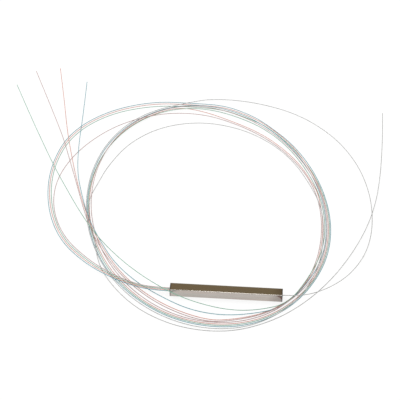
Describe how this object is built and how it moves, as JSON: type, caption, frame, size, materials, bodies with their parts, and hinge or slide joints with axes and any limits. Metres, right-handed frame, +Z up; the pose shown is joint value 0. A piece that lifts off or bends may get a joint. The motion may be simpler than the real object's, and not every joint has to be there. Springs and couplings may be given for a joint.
{
  "type": "bare fibre plc splitter",
  "caption": "Planar waveguide fibre splitter: a square steel tube holds the chip, with one clear input fibre and colour-coated output fibres in a loose coil, ends bare for splicing.",
  "frame": {"origin": "middle of the housing tube's underside, on the surface it rests on", "axes": "+X along the tube towards the end that the input fibre leaves, +Y across it towards the far side of the coil, +Z up"},
  "size_m": [0.1806, 0.177, 0.004],
  "materials": {
    "steel": "bright drawn stainless, fine lengthwise lines",
    "end_adhesive": "cured pale adhesive, smooth meniscus",
    "chip_silica": "polished silica on silicon",
    "lid_glass": "polished clear glass",
    "block_glass": "ground and polished clear glass",
    "clear_adhesive": "clear cured film",
    "soft_adhesive": "clear soft fillet",
    "silicone": "soft translucent silicone",
    "clear_coating": "smooth clear fibre coating",
    "blue_coating": "smooth tinted fibre coating",
    "orange_coating": "smooth tinted fibre coating",
    "green_coating": "smooth tinted fibre coating",
    "brown_coating": "smooth tinted fibre coating",
    "fibre_bundle": "loose turns of coated fibre"
  },
  "bodies": {
    "root": {"housing_tube": "steel", "input_end_seal": "end_adhesive", "output_end_seal": "end_adhesive", "waveguide_chip": "chip_silica", "chip_lid_input": "lid_glass", "chip_lid_output": "lid_glass", "input_groove_block": "block_glass", "output_groove_block": "block_glass", "input_groove_lid": "lid_glass", "output_groove_lid": "lid_glass", "input_facet_bond": "clear_adhesive", "output_facet_bond": "clear_adhesive", "input_groove_adhesive": "clear_adhesive", "output_groove_adhesive": "clear_adhesive", "input_tail_glue": "soft_adhesive", "output_tail_glue": "soft_adhesive", "input_bedding_pad": "silicone", "output_bedding_pad": "silicone", "chip_bedding_pad": "silicone", "fibre_coil": "fibre_bundle", "input_fibre_end": "clear_coating", "input_lead": "clear_coating", "input_inner_turn": "clear_coating", "input_tail": "clear_coating", "blue_fibre_end": "blue_coating", "blue_lead": "blue_coating", "blue_tail": "blue_coating", "orange_fibre_end": "orange_coating", "orange_lead": "orange_coating", "orange_tail": "orange_coating", "green_fibre_end": "green_coating", "green_lead": "green_coating", "green_tail": "green_coating", "brown_fibre_end": "brown_coating", "brown_lead": "brown_coating", "brown_tail": "brown_coating"}
  },
  "joints": []
}
